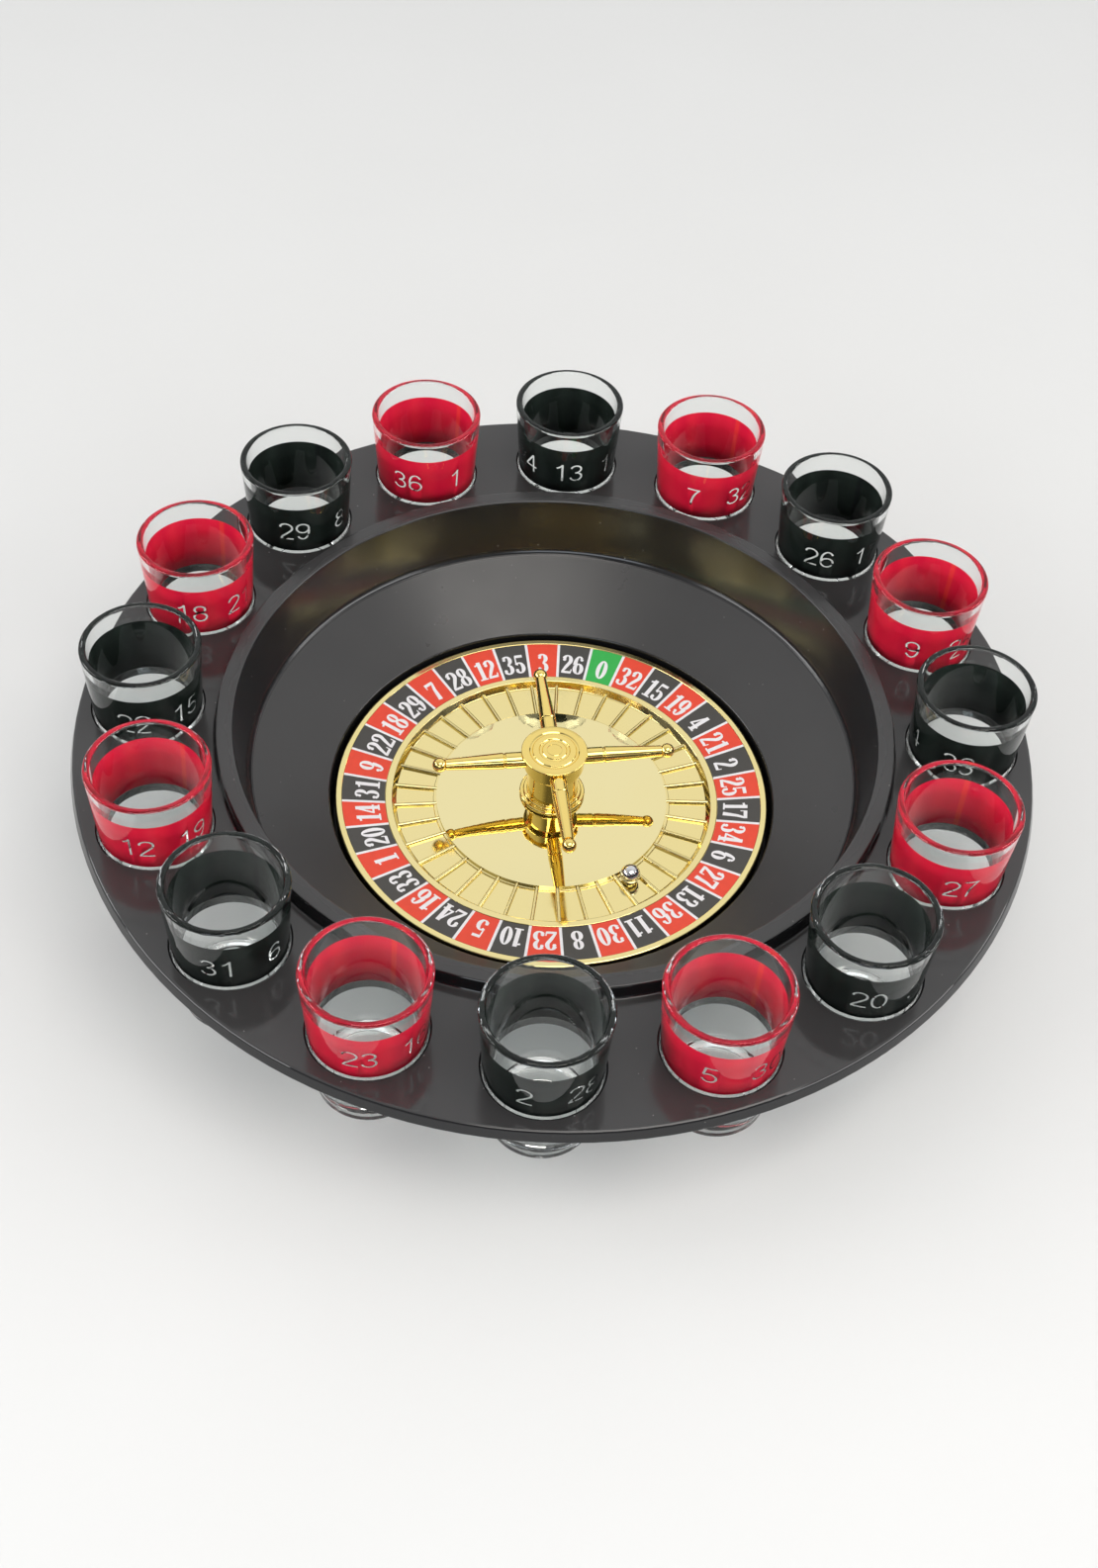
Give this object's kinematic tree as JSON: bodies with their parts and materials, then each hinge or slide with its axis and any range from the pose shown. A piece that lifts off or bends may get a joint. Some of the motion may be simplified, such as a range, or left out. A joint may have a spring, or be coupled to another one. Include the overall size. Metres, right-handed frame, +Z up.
{
  "type": "roulette wheel",
  "caption": "Table roulette set: a black tray with shot glasses round a bowl, and a gold number wheel with a turret that spins on a steel spindle.",
  "frame": {"origin": "on the wheel's axis, at the surface that the tray stands on", "axes": "+Z up along the wheel's axis, +Y to the first glass (back), -Y to the side that faces the viewer"},
  "size_m": [0.2978, 0.2978, 0.0713],
  "materials": {
    "tray_black": "satin black moulded plastic, glossy on the bowl's wall",
    "gold_plate": "polished gold plating on plastic",
    "gold_mirror": "mirror-like pale gold plating on plastic",
    "printed_ring": "printed film: red and black fields, one green, white numbers",
    "steel": "turned steel",
    "ball_steel": "polished steel",
    "bush_brass": "turned brass",
    "nylon": "natural nylon",
    "clear_glass": "clear pressed glass",
    "film_black": "glossy black film with clear digits",
    "film_red": "glossy translucent red film with clear digits"
  },
  "bodies": {
    "tray_base": {"tray": "tray_black", "spindle": "steel", "thrust_washer": "nylon", "retaining_clip": "steel"},
    "wheel": {"rotor": "gold_plate", "hub_bush": "bush_brass", "number_ring": "printed_ring", "centre_disc": "gold_mirror", "turret_stem": "gold_plate", "turret_cap": "gold_plate", "turret_arm_1": "gold_plate", "turret_arm_2": "gold_plate", "turret_arm_3": "gold_plate", "turret_arm_4": "gold_plate"},
    "steel_ball": {"ball": "ball_steel"},
    "shot_glass_01": {"glass_01": "clear_glass", "band_01": "film_black"},
    "shot_glass_02": {"glass_02": "clear_glass", "band_02": "film_red"},
    "shot_glass_03": {"glass_03": "clear_glass", "band_03": "film_black"},
    "shot_glass_04": {"glass_04": "clear_glass", "band_04": "film_red"},
    "shot_glass_05": {"glass_05": "clear_glass", "band_05": "film_black"},
    "shot_glass_06": {"glass_06": "clear_glass", "band_06": "film_red"},
    "shot_glass_07": {"glass_07": "clear_glass", "band_07": "film_black"},
    "shot_glass_08": {"glass_08": "clear_glass", "band_08": "film_red"},
    "shot_glass_09": {"glass_09": "clear_glass", "band_09": "film_black"},
    "shot_glass_10": {"glass_10": "clear_glass", "band_10": "film_red"},
    "shot_glass_11": {"glass_11": "clear_glass", "band_11": "film_black"},
    "shot_glass_12": {"glass_12": "clear_glass", "band_12": "film_red"},
    "shot_glass_13": {"glass_13": "clear_glass", "band_13": "film_black"},
    "shot_glass_14": {"glass_14": "clear_glass", "band_14": "film_red"},
    "shot_glass_15": {"glass_15": "clear_glass", "band_15": "film_black"},
    "shot_glass_16": {"glass_16": "clear_glass", "band_16": "film_red"}
  },
  "joints": [
    {"name": "wheel_spin", "type": "hinge", "parent": "tray_base", "child": "wheel", "pos_m": [0, 0, 0.012], "axis": [0, 0, 1], "continuous": true},
    {"name": "ball_lift", "type": "slide", "parent": "wheel", "child": "steel_ball", "axis": [0, 0, 1], "range_m": [0, 0.06]},
    {"name": "glass_01_lift", "type": "slide", "parent": "tray_base", "child": "shot_glass_01", "axis": [0, 0, 1], "range_m": [0, 0.06]},
    {"name": "glass_02_lift", "type": "slide", "parent": "tray_base", "child": "shot_glass_02", "axis": [0, 0, 1], "range_m": [0, 0.06]},
    {"name": "glass_03_lift", "type": "slide", "parent": "tray_base", "child": "shot_glass_03", "axis": [0, 0, 1], "range_m": [0, 0.06]},
    {"name": "glass_04_lift", "type": "slide", "parent": "tray_base", "child": "shot_glass_04", "axis": [0, 0, 1], "range_m": [0, 0.06]},
    {"name": "glass_05_lift", "type": "slide", "parent": "tray_base", "child": "shot_glass_05", "axis": [0, 0, 1], "range_m": [0, 0.06]},
    {"name": "glass_06_lift", "type": "slide", "parent": "tray_base", "child": "shot_glass_06", "axis": [0, 0, 1], "range_m": [0, 0.06]},
    {"name": "glass_07_lift", "type": "slide", "parent": "tray_base", "child": "shot_glass_07", "axis": [0, 0, 1], "range_m": [0, 0.06]},
    {"name": "glass_08_lift", "type": "slide", "parent": "tray_base", "child": "shot_glass_08", "axis": [0, 0, 1], "range_m": [0, 0.06]},
    {"name": "glass_09_lift", "type": "slide", "parent": "tray_base", "child": "shot_glass_09", "axis": [0, 0, 1], "range_m": [0, 0.06]},
    {"name": "glass_10_lift", "type": "slide", "parent": "tray_base", "child": "shot_glass_10", "axis": [0, 0, 1], "range_m": [0, 0.06]},
    {"name": "glass_11_lift", "type": "slide", "parent": "tray_base", "child": "shot_glass_11", "axis": [0, 0, 1], "range_m": [0, 0.06]},
    {"name": "glass_12_lift", "type": "slide", "parent": "tray_base", "child": "shot_glass_12", "axis": [0, 0, 1], "range_m": [0, 0.06]},
    {"name": "glass_13_lift", "type": "slide", "parent": "tray_base", "child": "shot_glass_13", "axis": [0, 0, 1], "range_m": [0, 0.06]},
    {"name": "glass_14_lift", "type": "slide", "parent": "tray_base", "child": "shot_glass_14", "axis": [0, 0, 1], "range_m": [0, 0.06]},
    {"name": "glass_15_lift", "type": "slide", "parent": "tray_base", "child": "shot_glass_15", "axis": [0, 0, 1], "range_m": [0, 0.06]},
    {"name": "glass_16_lift", "type": "slide", "parent": "tray_base", "child": "shot_glass_16", "axis": [0, 0, 1], "range_m": [0, 0.06]}
  ]
}
